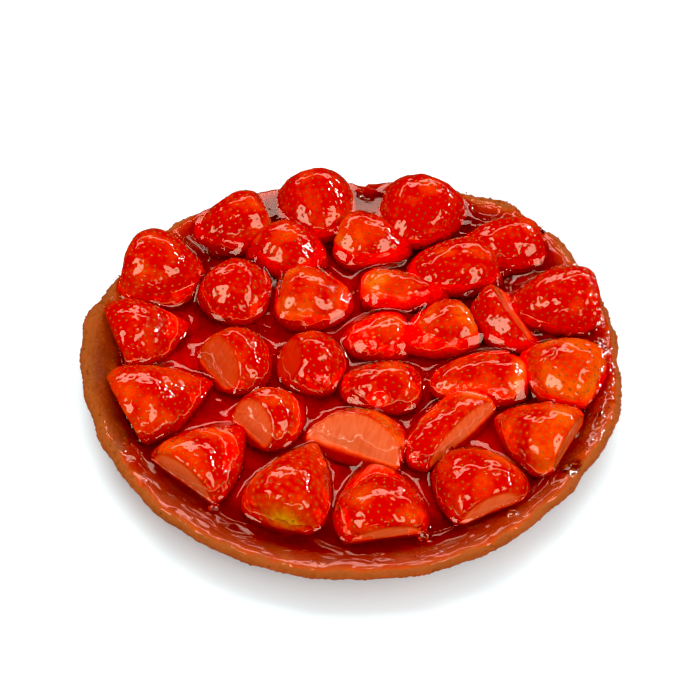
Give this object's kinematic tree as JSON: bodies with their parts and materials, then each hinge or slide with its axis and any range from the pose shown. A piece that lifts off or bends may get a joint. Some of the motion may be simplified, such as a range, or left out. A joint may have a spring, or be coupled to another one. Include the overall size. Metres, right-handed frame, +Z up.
{
  "type": "strawberry tart",
  "caption": "Round open fruit tart: a shallow flared pastry shell with a ragged browned rim, filled with cut strawberries set in a pool of clear red jelly.",
  "frame": {"origin": "centre of the bounding box, on the flat underside of the shell, where the tart stands", "axes": "+Z up, out of the open top; -Y towards the side where the rim shows widest; +X to its right"},
  "size_m": [0.221, 0.217, 0.0339],
  "materials": {
    "pastry": "baked shortcrust, matt and crumbly, browned at the edge and glazed in places",
    "strawberry": "fresh strawberry skin, red to orange, dimpled, under a wet clear glaze",
    "strawberry_flesh": "cut strawberry flesh, salmon, fibrous and moist",
    "strawberry_seed": "strawberry seeds, yellow to olive, under glaze",
    "jelly": "clear dark red set jelly and glaze, wet and mirror smooth"
  },
  "bodies": {
    "root": {"crust": "pastry", "jelly": "jelly", "strawberry_01": "strawberry", "strawberry_02": "strawberry", "strawberry_03": "strawberry", "strawberry_04": "strawberry", "strawberry_05": "strawberry", "strawberry_06": "strawberry", "strawberry_07": "strawberry", "strawberry_08": "strawberry", "strawberry_09": "strawberry", "strawberry_10": "strawberry", "strawberry_11": "strawberry", "strawberry_12": "strawberry", "strawberry_13": "strawberry", "strawberry_14": "strawberry", "strawberry_15": "strawberry", "strawberry_16": "strawberry", "strawberry_17": "strawberry", "strawberry_18": "strawberry", "strawberry_19": "strawberry", "strawberry_20": "strawberry", "strawberry_21": "strawberry", "strawberry_22": "strawberry", "strawberry_23": "strawberry", "strawberry_24": "strawberry", "strawberry_25": "strawberry", "strawberry_26": "strawberry", "strawberry_27": "strawberry", "strawberry_28": "strawberry", "strawberry_29": "strawberry", "strawberry_30": "strawberry"}
  },
  "joints": []
}
